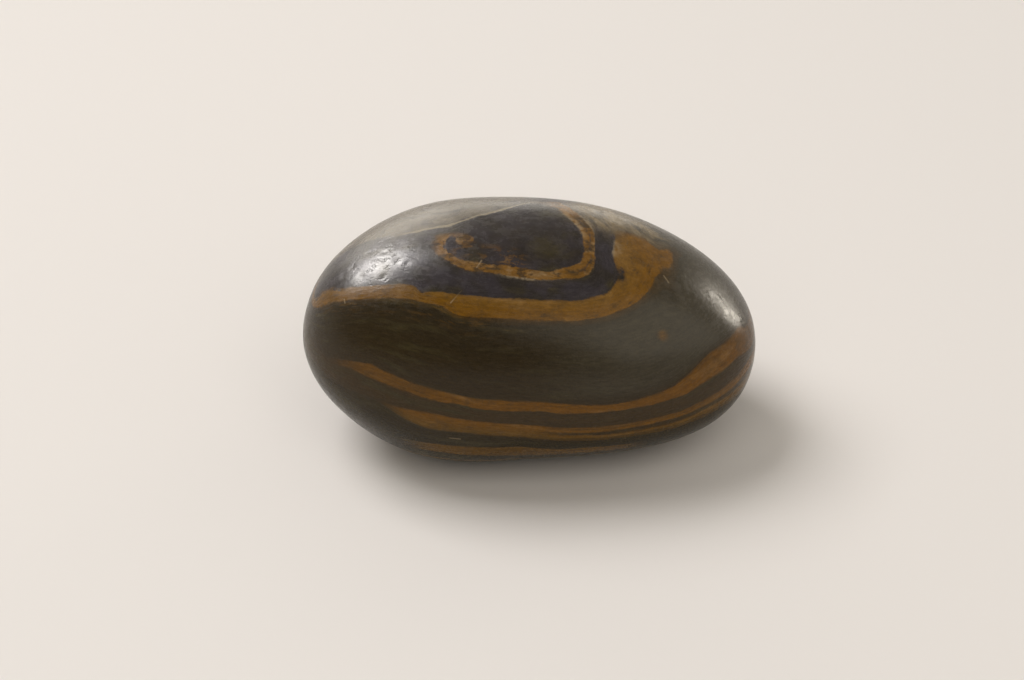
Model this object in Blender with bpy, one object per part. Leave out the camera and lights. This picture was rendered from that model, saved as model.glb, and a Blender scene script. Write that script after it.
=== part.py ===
"""River pebble: one water-worn stone, rounded and polished, at its real size in metres.

Z is up, and the stone lies on its worn flat at Z = 0. X runs along its length: the blunt end is at -X and
the slimmer end at +X. The origin is under the middle of its bounding box.
"""

import math

import bmesh
import bpy
import numpy as np

# Driving dimensions, in metres: the plain rounded block that the swells below are added to.
HALF_LENGTH = 0.02355
HALF_WIDTH = 0.0147
HALF_HEIGHT = 0.0124
SQUARENESS = 2.25  # 2 is a true ellipsoid, and more is fuller towards the corners
TAPER = 0.01  # how much slimmer the +X end is than the middle, as a share
NOSE_DOWN = math.radians(7.9)  # the +X end lies lower than the blunt end

# Broad swells, and worn flats where the height is negative. Each one is a direction from the stone's
# middle, how far it spreads round that direction in radians, and its height in metres.
SWELLS = (
    ((1.00, 0.01, 0.01), 0.38, 0.0007),  # slim end
    ((0.56, 0.48, 0.68), 0.65, 0.00085),  # back shoulder towards the slim end
    ((-0.93, 0.21, 0.31), 0.38, -0.00125),  # flat above the blunt end
    ((-1.00, 0.05, 0.07), 0.38, 0.0007),  # blunt end
    ((-0.77, -0.37, -0.53), 0.62, 0.002),  # full corner under the blunt end
    ((0.74, -0.38, -0.55), 0.90, -0.00115),  # hollow cheek under the slim end
    ((0.92, -0.22, -0.32), 0.38, 0.00055),  # lower lip of the slim end
    ((0.15, -0.95, 0.25), 0.60, -0.0005),  # flatter front
    ((-0.35, 0.92, -0.05), 0.60, 0.0003),  # fuller back
    ((0.55, 0.80, 0.10), 0.50, -0.0005),  # flatter back towards the slim end
)

# The worn flat that the stone lies on.
FLAT_LEVEL = -0.01195  # below the middle of the block
FLAT_ROUNDING = 0.00012  # how softly the underside runs out into the flat
FLAT_TRIM = 0.00003  # levels the last of that curve
LEVEL_ENOUGH = 0.00001  # points this low are all on the flat

BALL_DETAIL = 5  # icosphere subdivisions: 5120 triangles, about 1.3 mm across
IN_ONE_PLANE = math.radians(0.01)  # faces that differ by less than this are joined on the flat

STONE_COLOUR = (0.060, 0.048, 0.034, 1.0)
STONE_ROUGHNESS = 0.3


def rounded_block(ways):
    """Points of the tapered, tilted rounded block in these directions from its middle."""
    halves = np.array((HALF_LENGTH, HALF_WIDTH, HALF_HEIGHT))
    reach = (np.abs(ways / halves) ** SQUARENESS).sum(axis=1) ** (-1 / SQUARENESS)
    points = ways * reach[:, None]
    slimming = 1 - TAPER * points[:, 0] / HALF_LENGTH
    points[:, 1] *= slimming
    points[:, 2] *= slimming
    along, up = points[:, 0].copy(), points[:, 2].copy()
    points[:, 0] = along * math.cos(NOSE_DOWN) + up * math.sin(NOSE_DOWN)
    points[:, 2] = up * math.cos(NOSE_DOWN) - along * math.sin(NOSE_DOWN)
    return points


def add_swells(points):
    """Pushes the surface out or in along the line from the middle."""
    outward = points / np.linalg.norm(points, axis=1)[:, None]
    height = np.zeros(len(points))
    for direction, spread, swell in SWELLS:
        towards = np.array(direction) / np.linalg.norm(direction)
        angle = np.arccos(np.clip(outward @ towards, -1, 1))
        height += swell * np.exp(-((angle / spread) ** 2))
    return points + outward * height[:, None]


def wear_flat(points):
    """Runs the underside out softly into a level flat."""
    above = (points[:, 2] - FLAT_LEVEL) / FLAT_ROUNDING
    softened = FLAT_LEVEL + FLAT_ROUNDING * np.logaddexp(0, above)
    points[:, 2] = np.maximum(softened, FLAT_LEVEL + FLAT_TRIM)
    return points


def stand_on_origin(points):
    """Moves the stone so that the origin is under the middle of its bounding box."""
    low, high = points.min(axis=0), points.max(axis=0)
    middle = (low + high) / 2
    return points - (middle[0], middle[1], low[2])


def stone_material():
    material = bpy.data.materials.new("banded_stone")
    material.use_nodes = True
    shader = material.node_tree.nodes["Principled BSDF"]
    shader.inputs["Base Color"].default_value = STONE_COLOUR
    shader.inputs["Roughness"].default_value = STONE_ROUGHNESS
    shader.inputs["Metallic"].default_value = 0.0
    material.diffuse_color = STONE_COLOUR
    return material


def make_pebble(collection):
    ball = bmesh.new()
    bmesh.ops.create_icosphere(ball, subdivisions=BALL_DETAIL, radius=1.0)
    ways = np.array([vertex.co for vertex in ball.verts])
    ways /= np.linalg.norm(ways, axis=1)[:, None]
    points = stand_on_origin(wear_flat(add_swells(rounded_block(ways))))
    for vertex, point in zip(ball.verts, points):
        vertex.co = point
    bmesh.ops.dissolve_limit(
        ball,
        angle_limit=IN_ONE_PLANE,
        verts=[v for v in ball.verts if v.co.z < LEVEL_ENOUGH],
        edges=[e for e in ball.edges if max(v.co.z for v in e.verts) < LEVEL_ENOUGH],
    )
    mesh = bpy.data.meshes.new("pebble")
    ball.to_mesh(mesh)
    ball.free()
    mesh.shade_smooth()
    mesh.materials.append(stone_material())
    pebble = bpy.data.objects.new("pebble", mesh)
    collection.objects.link(pebble)
    return pebble


def main():
    for old in list(bpy.data.objects):
        bpy.data.objects.remove(old, do_unlink=True)
    collection = bpy.data.collections.new("river_pebble")
    bpy.context.scene.collection.children.link(collection)
    make_pebble(collection)


main()
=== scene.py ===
"""River pebble, dressed: the banded, water-polished stone on a pale studio floor.

Everything is in metres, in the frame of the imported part: Z is up, the stone lies on Z = 0, and X runs
along its length. Lengths that are easier to read in millimetres are written as such and multiplied by MM.
"""

import math
from typing import NamedTuple

import bmesh
import bpy
import numpy as np
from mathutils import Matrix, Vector
from mathutils.noise import noise as noise_at


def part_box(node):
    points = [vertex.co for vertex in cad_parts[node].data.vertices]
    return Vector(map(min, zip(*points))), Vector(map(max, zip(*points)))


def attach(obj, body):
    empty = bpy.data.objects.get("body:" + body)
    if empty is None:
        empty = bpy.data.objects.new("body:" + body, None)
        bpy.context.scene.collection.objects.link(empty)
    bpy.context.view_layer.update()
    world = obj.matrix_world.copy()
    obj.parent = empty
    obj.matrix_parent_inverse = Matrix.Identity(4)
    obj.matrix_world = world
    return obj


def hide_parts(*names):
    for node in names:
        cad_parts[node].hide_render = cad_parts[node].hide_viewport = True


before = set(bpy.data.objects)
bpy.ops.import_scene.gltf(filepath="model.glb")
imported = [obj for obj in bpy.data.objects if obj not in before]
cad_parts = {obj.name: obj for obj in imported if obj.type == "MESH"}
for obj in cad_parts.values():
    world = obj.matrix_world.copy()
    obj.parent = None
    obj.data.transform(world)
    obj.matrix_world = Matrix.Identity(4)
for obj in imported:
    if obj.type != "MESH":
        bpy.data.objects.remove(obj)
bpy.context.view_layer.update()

MM = 0.001

# The plain rounded block that the swells are added to.
HALF_LENGTH = 0.02355
HALF_WIDTH = 0.0147
HALF_HEIGHT = 0.0124
SQUARENESS = 2.25  # 2 is a true ellipsoid, and more is fuller towards the corners
TAPER = 0.01  # how much slimmer the +X end is than the middle, as a share
NOSE_DOWN = math.radians(7.9)  # the +X end lies lower than the blunt end

# Broad swells and worn flats: direction from the middle, spread in radians, height in metres.
SWELLS = (
    ((1.00, 0.01, 0.01), 0.38, 0.0007),  # slim end
    ((0.56, 0.48, 0.68), 0.65, 0.00085),  # back shoulder towards the slim end
    ((-0.93, 0.21, 0.31), 0.38, -0.00125),  # flat above the blunt end
    ((-1.00, 0.05, 0.07), 0.38, 0.0007),  # blunt end
    ((-0.77, -0.37, -0.53), 0.62, 0.002),  # full corner under the blunt end
    ((0.74, -0.38, -0.55), 0.90, -0.00115),  # hollow cheek under the slim end
    ((0.92, -0.22, -0.32), 0.38, 0.00055),  # lower lip of the slim end
    ((0.15, -0.95, 0.25), 0.60, -0.0005),  # flatter front
    ((-0.35, 0.92, -0.05), 0.60, 0.0003),  # fuller back
    ((0.55, 0.80, 0.10), 0.50, -0.0005),  # flatter back towards the slim end
)
FLAT_LEVEL = -0.01195  # the worn flat it lies on, below the middle of the block
FLAT_ROUNDING = 0.00012  # how softly the underside runs out into that flat

BALL_STEPS = 127  # cuts of each cube face that the ball is made from: about 0.2 mm a step on the stone

# The worn skin, in millimetres.
WAVES = ((9.0, 0.07), (4.0, 0.02))  # length and height of the skin's faint waves
DENTS = 170
DENT_SEED = 12
DENT_RADIUS = (0.3, 0.7)  # least and most
DENT_DEPTH = (0.008, 0.028)
SMOOTH_BELOW = 0.5  # the flat, and the stone up to this height, have no waves or dents
WORN_SPOTS = (  # dents in the left shoulder, where the light shows them: place, radius and depth
    ((-19.3, -3.4, 21.0), 0.35, 0.045),
    ((-18.4, -3.0, 21.7), 0.30, 0.040),
    ((-17.3, -5.1, 22.0), 0.45, 0.055),
    ((-15.0, -2.6, 23.4), 0.35, 0.045),
    ((-13.6, -4.5, 23.5), 0.50, 0.045),
    ((-15.0, -6.1, 22.6), 0.40, 0.045),
    ((-12.6, -5.1, 23.7), 0.35, 0.040),
    ((-16.0, -3.7, 22.9), 0.30, 0.040),
    ((-10.7, -8.0, 22.9), 0.40, 0.040),
)

# The stone's layers, top to bottom. Each edge between two layers is a sheet that runs through the stone.
# It is given by the Y of one line on it, then (X, height) points on that line, all in millimetres.
EDGES = (
    ("top of ring", -5, (
        (-12, 24.75), (-8.5, 24.36), (-5, 24.27), (-3, 24.16), (-1.5, 23.99), (-0.4, 23.82), (1.7, 23.5),
        (3.5, 23.46), (5.3, 23.33), (8, 23.0),
    )),
    ("foot of ring", -6.5, (
        (-12, 24.15), (-10, 24.08), (-8.5, 24.10), (-5, 23.82), (-3, 23.73), (-1.3, 23.50), (1, 23.18),
        (3, 22.97), (5.5, 22.7), (6.6, 22.62), (7.3, 22.9), (10, 22.8),
    )),
    ("top of broad band", -8.5, (
        (-23.6, 15.7), (-22.4, 17.2), (-21.6, 18.45), (-20.4, 19.6), (-18.5, 20.74), (-17, 21.42),
        (-15.4, 22.0), (-13.3, 22.55), (-11.9, 22.74), (-11.3, 22.52), (-9.2, 22.72), (-8, 22.75),
        (-5, 22.6), (-1, 22.3), (2, 22.0), (4, 21.77), (6, 21.62), (8, 21.43), (8.8, 21.6), (9.5, 21.4),
        (13, 21.2), (24, 19),
    )),
    ("foot of broad band", -10.5, (
        (-23.6, 15.2), (-22.2, 16.92), (-21.5, 17.7), (-20.3, 18.88), (-18.5, 20.0), (-16.4, 20.87),
        (-14.3, 21.47), (-12.2, 21.8), (-9.7, 21.79), (-8.7, 21.66), (-7.9, 21.35), (-7.2, 21.2),
        (-3, 21.08), (0, 20.7), (3, 20.38), (5, 20.22), (9, 20.08), (11.2, 20.02), (12.6, 19.98),
        (13.7, 19.78), (14.4, 19.45), (16, 18.9), (24, 17.5),
    )),
    ("top of waist band", -13.5, (
        (-21, 13.9), (-18.5, 14.95), (-16.4, 15.6), (-14.8, 15.4), (-13.3, 15.05), (-9, 14.2), (-5, 13.4),
        (-3, 13.3), (1, 12.85), (5, 12.25), (8, 11.87), (10.7, 11.97), (12.8, 12.2), (14.8, 12.65),
        (16.2, 13.3), (17.5, 14.0), (18.5, 14.4), (21.8, 14.5), (23.3, 13.2),
    )),
    ("foot of waist band", -13.5, (
        (-21, 13.55), (-18.3, 14.25), (-15, 13.9), (-12.8, 13.6), (-10.8, 13.15), (-7.7, 12.8), (-5.7, 12.3),
        (-3, 12.0), (1, 11.7), (3, 11.27), (7, 10.97), (14, 10.98), (16, 11.1), (17.5, 11.65), (20.5, 12.2),
        (21.8, 12.4), (23.3, 11.6),
    )),
    ("top of twin band", -14, (
        (-16, 11.7), (-10, 11.4), (-7.7, 11.05), (-5, 10.6), (-1, 10.15), (3, 9.35), (7, 8.95), (15.5, 9.06),
        (17.6, 9.45), (19.7, 9.86), (22.8, 11), (24, 10.9),
    )),
    ("foot of twin band", -13.5, (
        (-15.5, 11.5), (-14.6, 11.1), (-12.9, 10.15), (-10.8, 9.35), (-5.7, 8.95), (-1, 8.3), (3, 7.3),
        (7, 6.85), (15.6, 6.58), (19.8, 7.2), (24, 7.3),
    )),
    ("top of olive band", -13, ((-24, 7), (-9, 6.98), (-1, 6.6), (3, 5.6), (7, 5.55), (24, 4.8))),
    ("foot of olive band", -12.5, ((-24, 5.8), (-9.4, 5.3), (-3, 4.7), (1, 4.1), (10, 4.1), (24, 4))),
    ("top of lower band", -12, ((-24, 4.3), (0, 3.3), (24, 3.0))),
    ("foot of lower band", -12, ((-24, 3.7), (0, 2.7), (24, 2.5))),
    ("top of sole band", -9, ((-24, 2.2), (0, 1.5), (24, 1.0))),
    ("foot of sole band", -9, ((-24, 1.3), (0, 0.75), (24, 0.3))),
)

# How far the layers rise towards the back, in mm for each mm, at (X, rise) points.
LIFT_TO_BACK = ((-8, 0.12), (0, 0.09), (3, 0.09), (6, 0.16), (9, 0.185), (13, 0.185), (20, 0.07), (24, 0.04))
LOWER_LIFT = ((-8, 0.12), (4, 0.10), (13, 0.13), (18, 0.10), (20, 0.07), (24, 0.04))
TOP_EDGES = 4  # so many edges follow the first lift, and the rest follow the second
ARCH_FROM, ARCH = 2, 0.027  # behind this Y the layers bend down again: mm for each square mm
FOLDS = (  # small folds of all layers: place, radius and lift, in mm
    ((8.8, -2.5, 22.9), 2.5, 0.45),  # the broad band's hook is full towards the ring
    ((13.8, -4.8, 20.6), 1.5, 0.12),  # notch in the hook's outer side
    ((14.2, 1.0, 21.2), 2.2, -0.22),  # the hook's end is blunt
    ((-15.0, 1.0, 23.4), 3.5, -1.25),  # the ring's outer edge runs down behind the left shoulder
    ((-14.5, 4.5, 22.6), 3.5, -0.80),  # and further back
    ((-20.3, 1.0, 20.0), 3.2, -1.25),  # the broad band runs down round the blunt end
    ((-6.5, -2.5, 24.75), 1.3, 0.28),  # the ring curls in at its left end
    ((13.7, -0.7, 21.4), 1.5, -0.14),  # the hook is full behind its notch
    ((16.6, -0.2, 20.2), 1.7, 0.45),  # the hook's end is crisp towards the back
    ((16.8, -2.6, 19.8), 2.2, 0.66),  # and towards the front
    ((-7.0, 14.0, 14.0), 7.0, 1.30),  # the rest are out of sight, on the back and the underside
    ((10.0, 12.0, 11.0), 6.0, -1.10),
    ((-20.0, 6.0, 9.0), 5.5, 0.90),
    ((3.0, 2.0, 0.0), 7.0, 1.00),
)
EDGE_ROUNDING = 0.5  # how softly an edge's line turns at its points, in mm
SOFT_ROUNDING = 4.0  # the same for the second lift
LINE_STEPS = np.linspace(-30, 30, 601)  # the X values that a line is worked out at, in mm
OUTER_LAYER = 0.8  # how deep the first and last layers are taken to be, in mm
THINNEST = 0.04  # the least that a layer pinches out to, in mm
LAYERS = len(EDGES) + 1

# Where bands die out along the stone: the layer, then the X where it is gone and the X where it is full,
# in millimetres.
FADES = ((1.5, -10.5, -9), (5.5, -21.5, -16), (7.5, -16, -12), (9.5, -14, -9), (9.5, 13, 8), (5.5, 26, 20.5))

# Where bands are broken off at the back of the top: the layer, the X where it is full and the X where it is
# gone, then the Y where it is full and the Y where it is gone, and the Y where it is full again and the Y
# where it starts to come in again. All are in millimetres.
GAPS = (
    (1.5, 3.5, 1.0, -2.0, -0.8, 8.0, 5.0),
    (3.5, 10.5, 8.0, -0.5, 1.5, 7.0, 3.5),
    (3.5, 16.0, 13.5, 1.0, 2.2, 30, 28),
)

# A pale vein stands upright in the stone, at these (X, Y) points, with bleached rock behind it. All lengths
# are in millimetres.
VEIN = (
    (-24, 2.5), (-17, 0.7), (-14, 0.1), (-11.4, -0.1), (-8.3, 0.3), (-5.2, 2.1), (-2.6, 3.8), (0, 5.8),
    (4, 9),
)
VEIN_HEIGHTS = (15, 20)  # the vein and the bleached rock fade in between these heights
VEIN_END = (2, -2)  # and between these X
VEIN_START = (-16, -11)  # the vein alone fades in between these X
VEIN_WIDTH = (0.28, 0.1)  # from the vein's middle: where it ends and where it is full
VEIN_WANDER = 1.2  # how far its line wanders
VEIN_STRENGTH = 0.65
BLEACHING = (-0.1, 0.5)  # from the vein's middle: where the bleached rock starts and where it is full
OCHRE_BLEACHING = 0.9  # how much of the ochre is missing in the bleached rock

# Where something shows in a few spots only: the place and radius of each spot, in millimetres.
SPOTS = {
    "pale_edge": (((8.4, -1.6, 23.2), 1.3), ((-0.5, -6.3, 23.7), 2.5), ((4.4, 1.5, 24.3), 2.5)),
    "pale_rock": (((8.0, 4.8, 23.0), 3.4),),
    "tan_rock": (((7.5, 4.6, 23.0), 3.8), ((12.0, 3.4, 21.8), 2.6)),
    "ochre_spot": (((13.5, -9.6, 17.8), 0.55),),
    "stained": (((-5.8, -2.9, 24.6), 2.2),),
    "flecked": (((-6.8, -3.7, 24.6), 1.3), ((-4.1, -4.3, 24.5), 1.2), ((-1.9, -5.2, 24.1), 1.4)),
    "pitted": (((-15.2, -3.5, 23.1), 3.6), ((19.1, -2.8, 18.0), 1.3)),
}

# Fine pale scratches: their two ends, in millimetres.
SCRATCH_WIDTH = 0.13
SCRATCH_STRENGTH = 0.5
SCRATCHES = (
    ((-7.0, -8.9, 22.8), (-8.1, -10.0, 22.1)),
    ((-5.0, -5.5, 24.25), (-5.5, -6.4, 23.97)),
    ((13.8, -3.4, 21.0), (14.3, -4.1, 20.6)),
    ((-19.1, -6.5, 20.15), (-19.0, -6.9, 19.95)),
    ((-8.3, -14.1, 8.1), (-7.2, -14.2, 8.0)),
)

# Colours of the ochre bands and of the dark rock between them, at depths counted in layers. The layers from
# 8.5 to 10.5, low on the stone near the floor, carry painted contact shade as well as their own darker
# colour.
OCHRES = (
    (1.5, (0.145, 0.068, 0.011)),
    (3.1, (0.150, 0.074, 0.011)),
    (3.5, (0.140, 0.063, 0.004)),
    (5.5, (0.136, 0.057, 0.003)),
    (7.2, (0.140, 0.061, 0.004)),
    (7.8, (0.108, 0.054, 0.005)),
    (9.5, (0.100, 0.048, 0.003)),
    (13.5, (0.110, 0.065, 0.015)),
)
ROCKS = (
    (0.5, (0.024, 0.018, 0.014)),
    (2.5, (0.024, 0.019, 0.015)),
    (3.9, (0.025, 0.018, 0.009)),
    (4.5, (0.030, 0.020, 0.008)),
    (6.5, (0.046, 0.028, 0.010)),
    (8.5, (0.024, 0.016, 0.004)),
    (10.5, (0.019, 0.014, 0.005)),
    (14.5, (0.040, 0.029, 0.015)),
)
PALE_OCHRE = (0.25, 0.15, 0.06)
BROWN_OCHRE = (0.075, 0.040, 0.010)
CREAM = (0.36, 0.27, 0.16)
STAIN = (0.045, 0.028, 0.012)
OLIVE_ROCK = (0.044, 0.034, 0.014)
# Painted sheen: a lighter rock colour that stands in for a reflection on the front towards the slim end.
PAINTED_SHEEN_ROCK = (0.052, 0.043, 0.027)
PURPLE_ROCK = (0.034, 0.028, 0.032)
PALE_ROCK = (0.135, 0.110, 0.075)
TAN = (0.200, 0.150, 0.085)
VEIN_COLOUR = (0.30, 0.25, 0.17)

# The spaces that noise is made in, by how much each stretches X, Y and Z: less than 1 draws a pattern out.
STRETCHES = {"even": (1, 1, 1), "drawn out": (0.6, 1, 1), "long": (0.55, 1, 1)}
GRAIN_STRETCH = (0.16, 0.22, 1.3)  # the same for "grain", whose Z counts down through the layers


class Noise(NamedTuple):
    """Noise: its space, its humps to the millimetre, its detail and roughness, and the values where a
    pattern made from it starts and where it is full.
    """

    space: str
    humps: float
    detail: float
    roughness: float
    start: float = 0
    full: float = 1


class Mark(NamedTuple):
    """A marking: how strong it is, and what limits it. That can be noise, (depth in layers, share) points,
    the X where it starts and the X where it is full, and a measure of the surface such as one of SPOTS.
    """

    strength: float
    noise: Noise = None
    depths: tuple = None
    along: tuple = None
    measure: str = None


# Where markings lie in the layers: (depth in layers, share) points. The ring is the layer between 1 and 2,
# the broad band is the one between 3 and 4, and the waist and twin bands are the ones from 5 and from 7.
RING = ((0.7, 0), (1.0, 1), (2.0, 1), (2.2, 0))
RING_MIDDLE = ((1.40, 0), (1.52, 1), (1.64, 0))
RING_INSIDE = ((0.96, 0), (1.02, 0.8), (1.25, 0.5), (1.4, 0))
FACING_EDGES = ((1.90, 0), (2.0, 1), (2.09, 0), (2.95, 0), (3.0, 1), (3.12, 0.4), (3.2, 0))
RING_ROCK = ((0.2, 0.2), (1.0, 0.8), (3.0, 0.8), (3.6, 0.0))
OUTSIDE_RING = ((1.97, 0), (2.05, 1))
UNDER_BROAD_BAND = ((3.9, 0), (4.0, 1), (4.22, 0))
BROAD_TO_WAIST = ((3.9, 0), (4.1, 1), (4.8, 1), (5.0, 0))
BROAD_AND_WAIST = ((2.8, 0), (2.9, 1), (6.1, 1), (6.2, 0))
TWIN_SPLITS = (
    (7.06, 0), (7.14, 0.6), (7.22, 0), (7.30, 0), (7.38, 1), (7.54, 1), (7.62, 0), (7.78, 0), (7.88, 0.8),
    (7.98, 0),
)

MARKS = {
    # Where ochre is missing, or shows in the rock.
    "twin splits": Mark(0.95, depths=TWIN_SPLITS, along=(-1, 5)),
    "ring strand": Mark(0.76, Noise("even", 0.8, 3, 0.6, 0.36, 0.56), RING_MIDDLE, (2.5, 4.5)),
    "feather": Mark(0.38, Noise("grain", 3.2, 5, 0.65, 0.50, 0.60), UNDER_BROAD_BAND, (1, -6)),
    "ochre spot": Mark(0.5, measure="ochre_spot"),
    "ochre flecks": Mark(0.6, Noise("drawn out", 1.2, 5, 0.7, 0.49, 0.57), measure="flecked"),
    "patches": Mark(0.75, Noise("even", 0.9, 5, 0.7, 0.40, 0.56), measure="stained"),
    "worn": Mark(0.55, Noise("grain", 2.6, 5, 0.7, 0.46, 0.30)),
    # Colours within the ochre.
    "pale ochre": Mark(0.35, Noise("grain", 1.3, 4, 0.6, 0.50, 0.75)),
    "brown ochre": Mark(0.6, Noise("even", 0.6, 5, 0.65, 0.50, 0.70)),
    "brown end": Mark(0.35, depths=BROAD_AND_WAIST, along=(-8, -13)),
    "ring flecks": Mark(0.25, Noise("drawn out", 1.0, 5, 0.65, 0.50, 0.66), RING),
    "ring stains": Mark(0.85, Noise("long", 0.9, 5, 0.7, 0.50, 0.40), RING),
    # Colours within the rock.
    "olive rock": Mark(1, Noise("grain", 0.8, 4, 0.6, 0.48, 0.72)),
    # Painted sheen: lighter rock between the broad band and the waist band, towards the slim end, standing
    # in for a reflection.
    "painted sheen": Mark(0.8, depths=BROAD_TO_WAIST, along=(-2, 9)),
    "purple rock": Mark(1, Noise("even", 0.45, 3, 0.5, 0.35, 0.65), RING_ROCK),
    "pale rock": Mark(1, depths=OUTSIDE_RING, measure="pale_rock"),
    "bleached": Mark(0.72, Noise("grain", 2.2, 5, 0.6, 0.25, 0.52)),
    "tan rock": Mark(0.85, Noise("grain", 1.6, 4, 0.6, 0.28, 0.55), measure="tan_rock"),
    # Pale lines at the edges of the ochre.
    "facing edges": Mark(1, depths=FACING_EDGES),
    "ring's inner edge": Mark(1, depths=RING_INSIDE, along=(1.5, 4)),
    "pale edges": Mark(0.65, Noise("even", 1.5, 4, 0.6, 0.34, 0.56), measure="pale_edge"),
    # Relief.
    "pits": Mark(1.5, Noise("drawn out", 1.5, 3, 0.6, 0.55, 0.66), measure="pitted"),
}

# How far the layers' edges wander, in millimetres, and the share of that where the surface is level.
RAGGED = Noise("grain", 1.6, 5, 0.62)
RAGGED_WANDER = 0.6
FINE = Noise("even", 2.4, 3, 0.6)
FINE_WANDER = 0.2
LEVEL_SHARE = 0.22
NOISE_MIDDLE = 0.5
OCHRE_SOFTNESS = 0.06  # how softly the ochre starts at its edges, as a share of the layer

# Darker and lighter streaks: the values that the noise is read between, and the brightness there.
STREAKS = Noise("grain", 5.0, 5, 0.7)
STREAK_VALUES = (0.3, 0.7)
STREAK_BRIGHTNESS = (0.72, 1.28)

# The polish: the values that the sum of two noises is read between, and how rough the surface is there.
SCUFFS = (Noise("even", 1.4, 5, 0.7), Noise("grain", 4, 5, 0.7))
SCUFF_VALUES = (0.7, 1.3)
SCUFF_ROUGHNESS = (0.15, 0.37)
SPECULAR_LEVEL = 0.2

# The finest relief. Its height is in millimetres, and the strengths are shares of that height.
HUMPS = Noise("even", 1.8, 6, 0.65)
GRAIN_HUMPS = Noise("grain", 6, 4, 0.6)
GRAIN_HUMPS_STRENGTH = 0.8
SCRATCH_DEPTH = 0.5
RELIEF_HEIGHT = 0.016

# The floor, in metres.
FLOOR_SIZE = 6.0
FLOOR_COLOUR = (0.79, 0.758, 0.735)
FLOOR_ROUGHNESS = 0.9


class Softbox(NamedTuple):
    """A rectangular area light: its direction from the stone, in degrees to the right of straight away from
    the camera and in degrees above the floor, its distance and size in metres, its brightness and colour,
    whether it lights surfaces, and whether it shows in their polish.
    """

    azimuth: float
    rise: float
    distance: float
    size: tuple
    radiance: float
    colour: tuple
    diffuse: bool = True
    glossy: bool = True


LIGHT_AIM = (0, 0, 0.015)  # in metres
SOFTBOXES = {
    "key": Softbox(-66, 56, 0.95, (0.57, 0.57), 6.25, (1, 0.98, 0.962), glossy=False),
    "glint": Softbox(-45, 40, 0.7, (0.29, 0.22), 36, (1, 0.96, 0.92), diffuse=False),
    "glow": Softbox(-50, 42, 0.72, (0.54, 0.5), 5.6, (1, 0.98, 0.97), diffuse=False),
    "shoulder": Softbox(-26, 24, 0.74, (0.5, 0.34), 3.0, (1, 0.94, 0.85), diffuse=False),
    "card": Softbox(120, 38, 1.0, (1.3, 0.9), 1.5, (1, 0.95, 0.84), diffuse=False),
    "halo": Softbox(-8, 8, 1.0, (0.9, 0.3), 2.0, (1, 0.95, 0.86)),
    "kicker": Softbox(57, 6, 0.8, (0.075, 0.14), 50, (1, 0.92, 0.79), diffuse=False),
    "upper_kicker": Softbox(51, 16, 0.8, (0.055, 0.11), 44, (1, 0.92, 0.80), diffuse=False),
    "kicker_glow": Softbox(50, 12, 0.9, (0.3, 0.34), 1.7, (1, 0.90, 0.76)),
    "fill": Softbox(180, 50, 1.0, (1.2, 0.8), 1.2, (1, 0.95, 0.86), glossy=False),
}

# The light from all round, by the height of the direction that it comes from, and how much of it is left
# towards the front left.
ROOM = ((0.0, (0.92, 0.865, 0.775)), (0.25, (0.60, 0.565, 0.505)), (0.8, (0.27, 0.257, 0.236)))
SHADE_WAY = (-0.45, -0.82, 0.35)
SHADE = ((0.0, 1.0), (0.35, 0.9), (0.75, 0.2))

# The camera, in millimetres and degrees. Its dip is how far it looks down.
CAMERA_PLACE = (-1.89, -262.14, 194.05)
CAMERA_DIP = 35
CAMERA_LENS = 105.9
CAMERA_SENSOR = 36

COLOUR_A, COLOUR_B, COLOUR_RESULT = 6, 7, 2  # the sockets of a mix node that blends colours


def block_points(ways):
    """Points of the tapered, tilted rounded block in these directions from its middle."""
    halves = np.array((HALF_LENGTH, HALF_WIDTH, HALF_HEIGHT))
    reach = (np.abs(ways / halves) ** SQUARENESS).sum(axis=1) ** (-1 / SQUARENESS)
    points = ways * reach[:, None]
    slimming = 1 - TAPER * points[:, 0] / HALF_LENGTH
    points[:, 1] *= slimming
    points[:, 2] *= slimming
    along, up = points[:, 0].copy(), points[:, 2].copy()
    points[:, 0] = along * math.cos(NOSE_DOWN) + up * math.sin(NOSE_DOWN)
    points[:, 2] = up * math.cos(NOSE_DOWN) - along * math.sin(NOSE_DOWN)
    return points


def swollen(points):
    """The points with the swells added, along the line from the middle."""
    outward = points / np.linalg.norm(points, axis=1)[:, None]
    height = np.zeros(len(points))
    for direction, spread, swell in SWELLS:
        towards = np.array(direction) / np.linalg.norm(direction)
        angle = np.arccos(np.clip(outward @ towards, -1, 1))
        height += swell * np.exp(-((angle / spread) ** 2))
    return points + outward * height[:, None]


def worn_flat(points):
    """The points with the underside run out softly into a level flat."""
    above = (points[:, 2] - FLAT_LEVEL) / FLAT_ROUNDING
    points[:, 2] = FLAT_LEVEL + FLAT_ROUNDING * np.logaddexp(0, above)
    return points


def ball():
    """A ball of even four-sided faces, as a bmesh."""
    mesh = bmesh.new()
    bmesh.ops.create_cube(mesh, size=2)
    bmesh.ops.subdivide_edges(mesh, edges=mesh.edges, cuts=BALL_STEPS - 1, use_grid_fill=True)
    return mesh


def even_ways(mesh):
    """Directions to the ball's points, spread evenly over the stone and not over the ball."""
    cube = np.array([vertex.co for vertex in mesh.verts])
    spread = np.tan(cube * math.pi / 4)
    ways = spread / np.linalg.norm(spread, axis=1)[:, None] * (HALF_LENGTH, HALF_WIDTH, HALF_HEIGHT)
    return ways / np.linalg.norm(ways, axis=1)[:, None]


def on_the_part(points):
    """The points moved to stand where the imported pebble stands."""
    low, high = (np.array(corner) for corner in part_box("pebble"))
    shift = (low + high) / 2 - (points.min(axis=0) + points.max(axis=0)) / 2
    shift[2] = low[2] - points[:, 2].min()
    return points + shift


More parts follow.
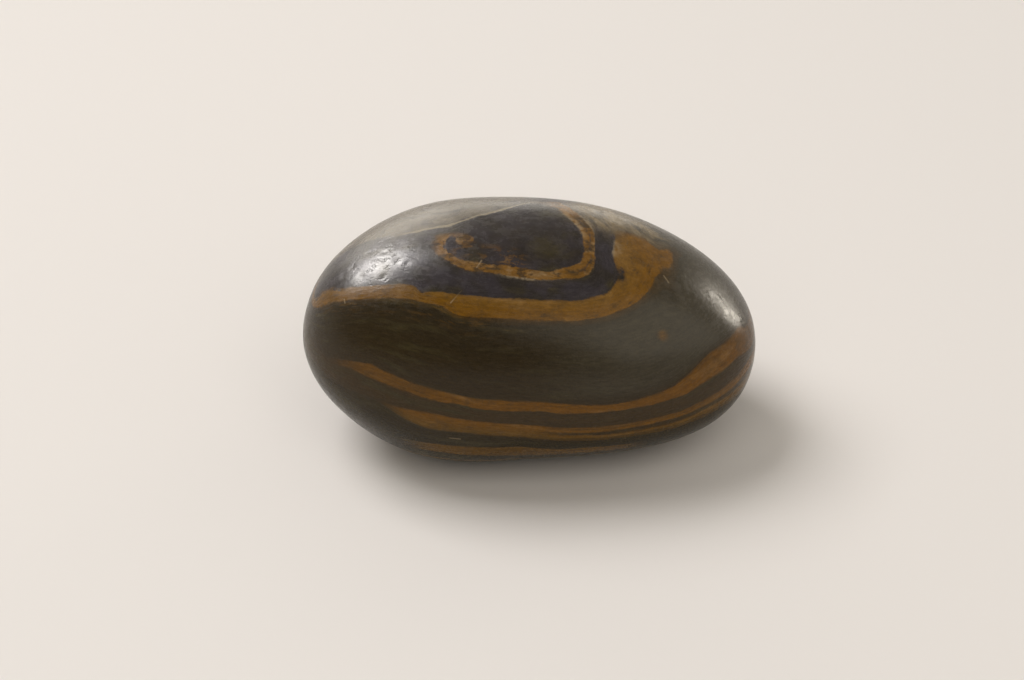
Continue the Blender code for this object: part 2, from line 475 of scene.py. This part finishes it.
def along_line(line, x, rounding=EDGE_ROUNDING):
    """The height of a line of (X, height) points at x, with its corners rounded."""
    raw = np.interp(LINE_STEPS, *np.array(line).T)
    reach = int(rounding / (LINE_STEPS[1] - LINE_STEPS[0]))
    window = np.hanning(2 * reach + 1)
    soft = np.convolve(np.pad(raw, reach, "edge"), window / window.sum(), "valid")
    return np.interp(x, LINE_STEPS, soft)


def smooth_step(values, start, end):
    """0 at the start and 1 at the end, eased between."""
    share = np.clip((values - start) / (end - start), 0, 1)
    return share * share * (3 - 2 * share)


def layers_of(points):
    """How far down through the layers each point is (1 at the first edge, 2 at the second and so on), how
    thick the layer is there, and how deep the point lies in a plain stack of layers of usual thickness.
    """
    x, y, z = (points / MM).T
    lifts = [along_line(LIFT_TO_BACK, x)] * TOP_EDGES
    lifts += [along_line(LOWER_LIFT, x, SOFT_ROUNDING)] * (len(EDGES) - TOP_EDGES)
    fold = np.zeros(len(z))
    for place, radius, rise in FOLDS:
        fold += rise * np.exp(-np.square(points / MM - place).sum(axis=1) / radius**2)
    fold -= ARCH * np.square(np.maximum(y - ARCH_FROM, 0))
    heights = []
    for lift, (_, line_y, line) in zip(lifts, EDGES):
        heights.append(along_line(line, x) + lift * (y - line_y) + fold)
    for above, edge in zip(heights, heights[1:]):
        np.minimum(edge, above - THINNEST, out=edge)
    heights = [heights[0] + OUTER_LAYER, *heights, heights[-1] - OUTER_LAYER]
    layer = np.zeros(len(z))
    thickness = np.full(len(z), OUTER_LAYER)
    flow = np.zeros(len(z))
    for top, foot in zip(heights, heights[1:]):
        share = np.clip((top - z) / (top - foot), 0, 1)
        layer += share
        flow += share * np.median(top - foot)
        inside = (z < top) & (z >= foot)
        thickness[inside] = (top - foot)[inside]
    return layer, thickness, flow


def presence_of(points, layer):
    """1 where the ochre bands are full and 0 where they have died out."""
    x, y, _ = (points / MM).T
    presence = np.ones(len(x))
    for band, gone, full in FADES:
        here = np.abs(layer - band) <= 1
        presence[here] *= smooth_step(x, gone, full)[here]
    for band, full_x, gone_x, full_y, gone_y, back_y, end_y in GAPS:
        here = np.abs(layer - band) <= 1
        gap = smooth_step(x, full_x, gone_x) * smooth_step(y, full_y, gone_y) * smooth_step(y, back_y, end_y)
        presence[here] *= 1 - gap[here]
    return presence


def near_any(points, spots):
    """1 at the middle of each (place, radius) spot and 0 away from them."""
    near = np.zeros(len(points))
    for place, radius in spots:
        away = np.square(points / MM - place).sum(axis=1) / radius**2
        near = np.maximum(near, np.exp(-(away**2)))
    return near


def outward_of(points):
    """The way straight out of the stone at each point, near enough."""
    outward = (points - points.mean(axis=0)) / np.square((HALF_LENGTH, HALF_WIDTH, HALF_HEIGHT))
    return outward / np.linalg.norm(outward, axis=1)[:, None]


def weathered(points):
    """The points with the skin's faint waves and its small dents."""
    outward = outward_of(points)
    height = np.zeros(len(points))
    for length, rise in WAVES:
        height += rise * np.array([noise_at(Vector(point / (length * MM))) for point in points])
    chance = np.random.default_rng(DENT_SEED)
    spots = list(WORN_SPOTS)
    for index in chance.choice(len(points), DENTS, replace=False):
        spots.append((points[index] / MM, chance.uniform(*DENT_RADIUS), chance.uniform(*DENT_DEPTH)))
    for place, radius, depth in spots:
        away = np.square(points / MM - place).sum(axis=1) / radius**2
        height -= depth * np.exp(-away)
    height *= smooth_step(points[:, 2], 0, SMOOTH_BELOW * MM)
    return points + outward * height[:, None] * MM


def measures_of(points):
    """What the material reads at each point of the smooth stone, by name."""
    layer, thickness, flow = layers_of(points)
    measures = {name: near_any(points, spots) for name, spots in SPOTS.items()}
    measures["layer"] = layer
    measures["thickness"] = thickness
    measures["flow"] = flow
    measures["presence"] = presence_of(points, layer)
    measures["behind_vein"] = points[:, 1] / MM - along_line(VEIN, points[:, 0] / MM)
    measures["crossing"] = np.hypot(*outward_of(points)[:, :2].T)
    return measures


def make_stone():
    """The weathered stone, with its measures and its material."""
    surface = ball()
    points = on_the_part(worn_flat(swollen(block_points(even_ways(surface)))))
    for vertex, point in zip(surface.verts, weathered(points)):
        vertex.co = point
    mesh = bpy.data.meshes.new("stone")
    surface.to_mesh(mesh)
    surface.free()
    mesh.shade_smooth()
    for name, values in measures_of(points).items():
        mesh.attributes.new(name, "FLOAT", "POINT").data.foreach_set("value", values.astype(np.float32))
    mesh.materials.append(banded_stone())
    stone = bpy.data.objects.new("stone", mesh)
    bpy.context.scene.collection.objects.link(stone)
    return stone


class Nodes:
    """Adds shader nodes to one tree and joins them up. Amounts are sockets or numbers."""

    def __init__(self, tree):
        self.tree = tree

    def add(self, kind, values=(), **settings):
        """A new node with these settings. Each value goes to the input of that name or number."""
        node = self.tree.nodes.new(kind)
        for name, setting in settings.items():
            setattr(node, name, setting)
        for name, value in dict(values).items():
            if isinstance(value, bpy.types.NodeSocket):
                self.tree.links.new(value, node.inputs[name])
            else:
                node.inputs[name].default_value = value
        return node

    def calculate(self, operation, first, second=0.0):
        """The result of a math operation on one or two amounts."""
        return self.add("ShaderNodeMath", {0: first, 1: second}, operation=operation).outputs[0]

    def times(self, first, *others):
        """The product of all the amounts."""
        for other in others:
            first = self.calculate("MULTIPLY", first, other)
        return first

    def plus(self, first, second):
        return self.calculate("ADD", first, second)

    def most(self, first, second):
        return self.calculate("MAXIMUM", first, second)

    def without(self, amount, mask):
        """The amount where the mask is 0, and nothing where it is 1."""
        return self.times(amount, self.calculate("SUBTRACT", 1, mask))

    def eased(self, amount, start, full):
        """0 where the amount is at the start and 1 where it is full, eased between."""
        values = {"Value": amount, "From Min": start, "From Max": full}
        return self.add("ShaderNodeMapRange", values, interpolation_type="SMOOTHSTEP").outputs["Result"]

    def scaled(self, amount, given, wanted):
        """The amount moved evenly from the given span of values to the wanted one, and held at its ends."""
        values = {"Value": amount, "From Min": given[0], "From Max": given[1]}
        values.update({"To Min": wanted[0], "To Max": wanted[1]})
        return self.add("ShaderNodeMapRange", values).outputs["Result"]

    def vector(self, operation, first, second):
        """Vector arithmetic: the second value is a vector, or an amount where the operation is SCALE."""
        values = {0: first, "Scale" if operation == "SCALE" else 1: second}
        return self.add("ShaderNodeVectorMath", values, operation=operation).outputs["Vector"]

    def ramp(self, amount, stops):
        """A colour for the amount, from (amount, colour or grey) stops."""
        node = self.add("ShaderNodeValToRGB", {"Fac": amount})
        elements = node.color_ramp.elements
        for _ in stops[2:]:
            elements.new(0.5)  # its position is set below
        for element, (position, colour) in zip(elements, stops):
            element.position = position
            grey = isinstance(colour, (int, float))
            element.color = (colour, colour, colour, 1) if grey else (*colour, 1)
        return node.outputs["Color"]

    def blended(self, amount, first, second, blend_type="MIX"):
        """Two colours blended, each a socket or a colour."""
        node = self.add("ShaderNodeMix", {"Factor": amount}, data_type="RGBA", blend_type=blend_type)
        for socket, value in ((node.inputs[COLOUR_A], first), (node.inputs[COLOUR_B], second)):
            if isinstance(value, bpy.types.NodeSocket):
                self.tree.links.new(value, socket)
            else:
                socket.default_value = (*value, 1)
        return node.outputs[COLOUR_RESULT]


class StoneNodes(Nodes):
    """Nodes that know where they are on the stone, in millimetres, and how deep in its layers."""

    def __init__(self, tree):
        super().__init__(tree)
        metres = self.add("ShaderNodeTexCoord").outputs["Object"]
        self.place = self.vector("SCALE", metres, 1 / MM)
        parts = self.add("ShaderNodeSeparateXYZ", {0: self.place}).outputs
        self.x, self.z = parts["X"], parts["Z"]
        self.spaces = {name: self.vector("MULTIPLY", self.place, by) for name, by in STRETCHES.items()}
        values = {"X": parts["X"], "Y": parts["Y"], "Z": self.measure("flow")}
        stacked = self.add("ShaderNodeCombineXYZ", values).outputs[0]
        self.spaces["grain"] = self.vector("MULTIPLY", stacked, GRAIN_STRETCH)
        self.ragged = self.calculate("SUBTRACT", self.noise(RAGGED), NOISE_MIDDLE)
        self.depth = self.ragged_depth()

    def ragged_depth(self):
        """The depth in layers, with ragged edges, which are less so where the surface is level."""
        fine = self.calculate("SUBTRACT", self.noise(FINE), NOISE_MIDDLE)
        wander = self.plus(self.times(self.ragged, RAGGED_WANDER), self.times(fine, FINE_WANDER))
        wander = self.times(wander, self.scaled(self.measure("crossing"), (0, 1), (LEVEL_SHARE, 1)))
        return self.plus(self.measure("layer"), self.calculate("DIVIDE", wander, self.measure("thickness")))

    def measure(self, name):
        """The stone's own measure of that name."""
        return self.add("ShaderNodeAttribute", attribute_name=name).outputs["Fac"]

    def noise(self, noise):
        """The noise's values, from 0 to 1."""
        values = {"Vector": self.spaces[noise.space], "Scale": noise.humps}
        values.update({"Detail": noise.detail, "Roughness": noise.roughness})
        return self.add("ShaderNodeTexNoise", values).outputs["Fac"]

    def through_layers(self, stops):
        """A colour for the depth, from (depth in layers, colour or grey) stops."""
        share = self.calculate("DIVIDE", self.depth, LAYERS)
        return self.ramp(share, [(depth / LAYERS, colour) for depth, colour in stops])

    def mark(self, name):
        """How much of the marking shows: its strength where nothing limits it."""
        mark = MARKS[name]
        limits = []
        if mark.measure:
            limits.append(self.measure(mark.measure))
        if mark.depths:
            limits.append(self.through_layers(mark.depths))
        if mark.along:
            limits.append(self.eased(self.x, *mark.along))
        if mark.noise:
            limits.append(self.eased(self.noise(mark.noise), mark.noise.start, mark.noise.full))
        return self.times(*limits, mark.strength)

    def scratches(self):
        """1 on the fine scratches and 0 off them."""
        mask = 0.0
        for start, end in SCRATCHES:
            line = Vector(end) - Vector(start)
            offset = self.vector("SUBTRACT", self.place, start)
            along = self.add("ShaderNodeVectorMath", {0: offset, 1: line}, operation="DOT_PRODUCT")
            values = {0: along.outputs["Value"], 1: line.length_squared}
            share = self.add("ShaderNodeMath", values, operation="DIVIDE", use_clamp=True)
            nearest = self.vector("SCALE", line, share.outputs[0])
            away = self.add("ShaderNodeVectorMath", {0: offset, 1: nearest}, operation="DISTANCE")
            mask = self.most(mask, self.eased(away.outputs["Value"], SCRATCH_WIDTH, 0))
        return mask

    def vein_and_bleach(self):
        """How much shows of the upright vein, and of the bleached rock behind it."""
        behind = self.plus(self.measure("behind_vein"), self.times(self.ragged, VEIN_WANDER))
        reach = self.times(self.eased(self.z, *VEIN_HEIGHTS), self.eased(self.x, *VEIN_END))
        bleach = self.times(self.eased(behind, *BLEACHING), reach)
        vein = self.times(self.eased(self.calculate("ABSOLUTE", behind), *VEIN_WIDTH), reach)
        return self.times(vein, self.eased(self.x, *VEIN_START)), bleach


def ochre_share(nodes, bleach):
    """1 where the stone is ochre and 0 where it is rock."""
    stops = [(0, 0)]
    for top in range(1, len(EDGES), 2):
        stops += [(top, 0), (top + OCHRE_SOFTNESS, 1), (top + 1 - OCHRE_SOFTNESS, 1), (top + 1, 0)]
    ochre = nodes.times(nodes.through_layers(stops), nodes.measure("presence"))
    ochre = nodes.without(ochre, nodes.most(nodes.mark("twin splits"), nodes.mark("ring strand")))
    for name in ("feather", "ochre spot", "ochre flecks"):
        ochre = nodes.most(ochre, nodes.mark(name))
    ochre = nodes.without(ochre, nodes.mark("patches"))
    ochre = nodes.without(ochre, nodes.times(bleach, OCHRE_BLEACHING))
    return nodes.without(ochre, nodes.mark("worn"))


def ochre_colour(nodes):
    """The ochre bands: paler and browner in places, with flecks and stains in the ring."""
    colour = nodes.through_layers(OCHRES)
    colour = nodes.blended(nodes.mark("pale ochre"), colour, PALE_OCHRE)
    brown = nodes.plus(nodes.mark("brown ochre"), nodes.mark("brown end"))
    colour = nodes.blended(brown, colour, BROWN_OCHRE)
    colour = nodes.blended(nodes.mark("ring flecks"), colour, CREAM)
    return nodes.blended(nodes.mark("ring stains"), colour, STAIN)


def rock_colour(nodes, bleach):
    """The rock between the bands: olive and purple in places, bleached or tan in others, and lighter in one
    patch towards the slim end, where a painted sheen stands in for a reflection.
    """
    colour = nodes.through_layers(ROCKS)
    colour = nodes.blended(nodes.mark("olive rock"), colour, OLIVE_ROCK)
    colour = nodes.blended(nodes.mark("painted sheen"), colour, PAINTED_SHEEN_ROCK)
    colour = nodes.blended(nodes.mark("purple rock"), colour, PURPLE_ROCK)
    bleached = nodes.times(nodes.most(nodes.mark("pale rock"), bleach), nodes.mark("bleached"))
    colour = nodes.blended(bleached, colour, PALE_ROCK)
    return nodes.blended(nodes.mark("tan rock"), colour, TAN)


def stone_colour(nodes, scratches):
    """The surface's colour: ochre and rock, streaked, with the pale edges, the vein and the scratches."""
    vein, bleach = nodes.vein_and_bleach()
    colour = nodes.blended(ochre_share(nodes, bleach), rock_colour(nodes, bleach), ochre_colour(nodes))
    streaks = nodes.scaled(nodes.noise(STREAKS), STREAK_VALUES, STREAK_BRIGHTNESS)
    colour = nodes.vector("SCALE", colour, streaks)
    edges = nodes.most(nodes.mark("facing edges"), nodes.mark("ring's inner edge"))
    colour = nodes.blended(nodes.times(edges, nodes.mark("pale edges")), colour, CREAM)
    colour = nodes.blended(nodes.times(vein, VEIN_STRENGTH), colour, VEIN_COLOUR)
    return nodes.blended(nodes.times(scratches, SCRATCH_STRENGTH), colour, CREAM)


def stone_relief(nodes, scratches):
    """The way the surface faces, with its finest humps, pits and scratches."""
    relief = nodes.plus(nodes.noise(HUMPS), nodes.times(nodes.noise(GRAIN_HUMPS), GRAIN_HUMPS_STRENGTH))
    relief = nodes.calculate("SUBTRACT", relief, nodes.mark("pits"))
    relief = nodes.calculate("SUBTRACT", relief, nodes.times(scratches, SCRATCH_DEPTH))
    values = {"Height": relief, "Strength": 1.0, "Distance": RELIEF_HEIGHT * MM}
    return nodes.add("ShaderNodeBump", values).outputs["Normal"]


def banded_stone():
    """The stone's material: layers of dark rock and ochre, mottled, scratched and worn to a satin polish."""
    material = bpy.data.materials.new("banded_stone")
    material.use_nodes = True
    shader = material.node_tree.nodes["Principled BSDF"]
    shader.inputs["Specular IOR Level"].default_value = SPECULAR_LEVEL
    nodes = StoneNodes(material.node_tree)
    scratches = nodes.scratches()
    scuffs = nodes.plus(*(nodes.noise(noise) for noise in SCUFFS))
    sockets = {
        "Base Color": stone_colour(nodes, scratches),
        "Roughness": nodes.scaled(scuffs, SCUFF_VALUES, SCUFF_ROUGHNESS),
        "Normal": stone_relief(nodes, scratches),
    }
    for name, socket in sockets.items():
        material.node_tree.links.new(socket, shader.inputs[name])
    return material


def plain_material(name, colour, roughness):
    """A matt material of one colour."""
    material = bpy.data.materials.new(name)
    material.use_nodes = True
    shader = material.node_tree.nodes["Principled BSDF"]
    shader.inputs["Base Color"].default_value = (*colour, 1)
    shader.inputs["Roughness"].default_value = roughness
    shader.inputs["Specular IOR Level"].default_value = 0
    return material


def make_floor():
    bpy.ops.mesh.primitive_plane_add(size=FLOOR_SIZE)
    floor = bpy.context.object
    floor.name = "floor"
    floor.data.materials.append(plain_material("pale_floor", FLOOR_COLOUR, FLOOR_ROUGHNESS))


def make_softbox(name, box):
    """An area light from its values, aimed at the stone."""
    turn, rise = math.radians(box.azimuth), math.radians(box.rise)
    way = Vector((math.sin(turn) * math.cos(rise), math.cos(turn) * math.cos(rise), math.sin(rise)))
    light = bpy.data.lights.new(name, "AREA")
    light.shape = "RECTANGLE"
    light.size, light.size_y = box.size
    light.energy = box.radiance * math.pi * box.size[0] * box.size[1]
    light.color = box.colour
    lamp = bpy.data.objects.new(name, light)
    lamp.location = way * box.distance + Vector(LIGHT_AIM)
    lamp.rotation_euler = way.to_track_quat("Z", "Y").to_euler()
    lamp.visible_diffuse = box.diffuse
    lamp.visible_glossy = box.glossy
    bpy.context.scene.collection.objects.link(lamp)


def make_room():
    """The light that comes from all round: brighter near the floor, and shaded towards the front left."""
    world = bpy.data.worlds.new("studio")
    bpy.context.scene.world = world
    world.use_nodes = True
    nodes = Nodes(world.node_tree)
    way = nodes.add("ShaderNodeTexCoord").outputs["Generated"]
    parts = nodes.add("ShaderNodeSeparateXYZ", {0: way}).outputs
    side = nodes.add("ShaderNodeVectorMath", {0: way, 1: SHADE_WAY}, operation="DOT_PRODUCT")
    shade = nodes.ramp(side.outputs["Value"], SHADE)
    light = nodes.blended(1.0, nodes.ramp(parts["Z"], ROOM), shade, "MULTIPLY")
    world.node_tree.links.new(light, world.node_tree.nodes["Background"].inputs["Color"])


def make_camera():
    camera = bpy.data.cameras.new("camera")
    camera.sensor_width = CAMERA_SENSOR
    camera.lens = CAMERA_LENS
    holder = bpy.data.objects.new("camera", camera)
    holder.location = Vector(CAMERA_PLACE) * MM
    holder.rotation_euler = (math.radians(90 - CAMERA_DIP), 0, 0)
    bpy.context.scene.collection.objects.link(holder)
    bpy.context.scene.camera = holder


stone = make_stone()
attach(stone, "root")
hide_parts("pebble")
make_floor()
for name, box in SOFTBOXES.items():
    make_softbox(name, box)
make_room()
make_camera()
bpy.context.scene.view_settings.view_transform = "Standard"
